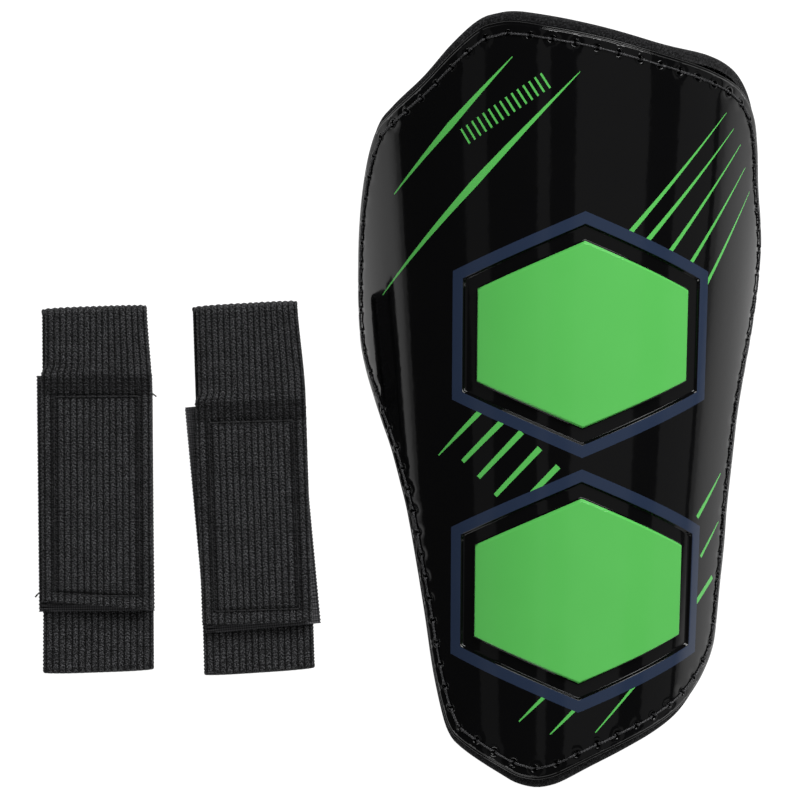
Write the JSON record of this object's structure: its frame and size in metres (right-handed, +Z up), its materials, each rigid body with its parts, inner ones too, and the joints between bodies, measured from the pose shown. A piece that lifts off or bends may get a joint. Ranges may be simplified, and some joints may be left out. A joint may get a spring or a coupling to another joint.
{
  "type": "shin guard with straps",
  "caption": "Curved moulded shin guard with padded foam back and stitched rim, and two elastic hook-and-loop straps lying beside it.",
  "frame": {"origin": "on the table, under the middle of the whole laid-out set", "axes": "+Y along the shin towards the knee end, +X across the guard away from the straps, +Z up from the table"},
  "size_m": [0.1972, 0.2064, 0.0511],
  "materials": {
    "shell": "high gloss black moulded polypropylene with printed green and navy panels",
    "foam": "closed-cell foam, matt, cut edge",
    "lining": "fine knitted textile bonded to the foam",
    "thread": "twisted polyester thread",
    "elastic": "ribbed woven elastic",
    "hook": "moulded hook tape",
    "loop": "brushed loop pile",
    "strap_thread": "twisted polyester thread"
  },
  "bodies": {
    "guard": {"shell": "shell", "foam_pad": "foam", "lining": "lining", "needle_thread": "thread", "bobbin_thread": "thread"},
    "strap_1": {"strap_1_band": "elastic", "strap_1_loop_patch": "loop", "strap_1_loop_stitching": "strap_thread"},
    "strap_1_flap": {"strap_1_tab": "elastic", "strap_1_hook_patch": "hook", "strap_1_hook_stitching": "strap_thread"},
    "strap_2": {"strap_2_band": "elastic", "strap_2_loop_patch": "loop", "strap_2_loop_stitching": "strap_thread"},
    "strap_2_flap": {"strap_2_tab": "elastic", "strap_2_hook_patch": "hook", "strap_2_hook_stitching": "strap_thread"}
  },
  "joints": [
    {"name": "strap_1_lift", "type": "slide", "parent": "guard", "child": "strap_1", "axis": [0, 0, 1], "range_m": [0, 0.1]},
    {"name": "strap_1_peel", "type": "hinge", "parent": "strap_1", "child": "strap_1_flap", "pos_m": [-0.08287, 0.00444, 0.00665], "axis": [-1, -0.0052, 0], "range_deg": [0, 150]},
    {"name": "strap_2_lift", "type": "slide", "parent": "guard", "child": "strap_2", "axis": [0, 0, 1], "range_m": [0, 0.1]},
    {"name": "strap_2_peel", "type": "hinge", "parent": "strap_2", "child": "strap_2_flap", "pos_m": [-0.041, -0.00237, 0.00665], "axis": [-0.9995, -0.0332, 0], "range_deg": [0, 150]}
  ]
}
